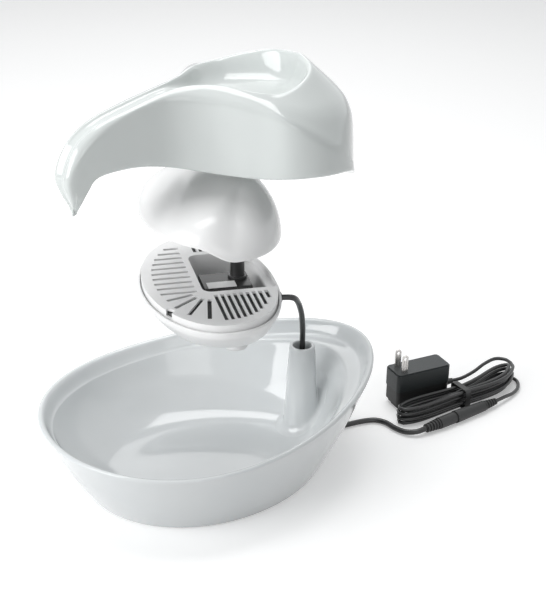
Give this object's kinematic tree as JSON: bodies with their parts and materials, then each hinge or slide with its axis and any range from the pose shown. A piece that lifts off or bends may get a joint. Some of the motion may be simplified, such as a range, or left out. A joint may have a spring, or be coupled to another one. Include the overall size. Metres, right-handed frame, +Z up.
{
  "type": "pet water fountain",
  "caption": "Leaf-shaped glazed pet water fountain with pump, filter grille, domed cover and plug-in supply, its lift-off pieces held apart one above the other.",
  "frame": {"origin": "on the floor, under the middle of the whole part's box", "axes": "+Z up, +X towards the rear, where the cord leaves, +Y across, away from the connector"},
  "size_m": [0.4855, 0.2338, 0.3629],
  "materials": {
    "glazed_bowl": "glossy glaze, cool grey-white",
    "glazed_top": "glossy glaze, cool grey-white",
    "white_cover": "satin moulded white",
    "white_grille": "satin moulded white",
    "white_tray": "satin moulded white",
    "filter_pad": "charcoal-loaded fibre pad",
    "clear_rubber": "milky soft rubber",
    "gland_rubber": "matt",
    "pump_black": "fine-grained black",
    "slider_grey": "satin",
    "impeller_white": "satin",
    "magnet_dark": "ground ferrite",
    "shaft_ceramic": "polished",
    "tube_black": "satin",
    "bare_label": "bare, satin",
    "cord_black": "satin black cord jacket",
    "connector_black": "satin black moulding",
    "barrel_nickel": "nickel plate",
    "tie_black": "satin",
    "case_charcoal": "fine-grained satin",
    "case_black": "fine-grained satin",
    "blade_nickel": "nickel plate"
  },
  "bodies": {
    "bowl": {"bowl": "glazed_bowl", "lead_in_bowl": "cord_black", "lead_free": "cord_black", "inline_plug": "connector_black", "plug_relief": "connector_black", "inline_socket": "connector_black", "socket_relief": "connector_black", "plug_barrel": "barrel_nickel", "supply_tail": "cord_black", "supply_hank": "cord_black", "cord_tie": "tie_black", "case_tail": "cord_black", "supply_case_top": "case_charcoal", "supply_case_bottom": "case_black", "supply_relief": "connector_black", "plug_blades": "blade_nickel"},
    "pump_unit": {"pump_tray": "white_tray", "suction_cup": "clear_rubber", "cord_gland": "gland_rubber", "pump_body": "pump_black", "pump_front_cover": "pump_black", "pump_o_ring": "gland_rubber", "shaft_bushes": "gland_rubber", "outlet_tube": "tube_black", "pump_label": "bare_label", "pump_cable": "cord_black", "riser_cord": "cord_black"},
    "impeller": {"impeller": "impeller_white", "rotor_magnet": "magnet_dark", "impeller_shaft": "shaft_ceramic"},
    "flow_slider": {"flow_slider": "slider_grey"},
    "grille": {"filter_grille": "white_grille", "carbon_filter": "filter_pad"},
    "pump_cover": {"pump_cover": "white_cover"},
    "top_cover": {"top_cover": "glazed_top"}
  },
  "joints": [
    {"name": "pump_lift", "type": "slide", "parent": "bowl", "child": "pump_unit", "axis": [0, 0, 1], "range_m": [-0.1125, 0], "deforming": ["riser_cord"]},
    {"name": "grille_lift", "type": "slide", "parent": "pump_unit", "child": "grille", "axis": [0, 0, 1], "range_m": [0, 0.03]},
    {"name": "cover_lift", "type": "slide", "parent": "grille", "child": "pump_cover", "axis": [0, 0, 1], "range_m": [-0.0505, 0]},
    {"name": "top_lift", "type": "slide", "parent": "pump_cover", "child": "top_cover", "axis": [0, 0, 1], "range_m": [-0.007, 0.05]},
    {"name": "impeller_spin", "type": "hinge", "parent": "pump_unit", "child": "impeller", "pos_m": [0.00407, 0.00239, 0.1574], "axis": [0.9455, -0.3256, 0], "continuous": true},
    {"name": "flow_slide", "type": "slide", "parent": "pump_unit", "child": "flow_slider", "axis": [0.3256, 0.9455, 0], "range_m": [0, 0.008]}
  ]
}
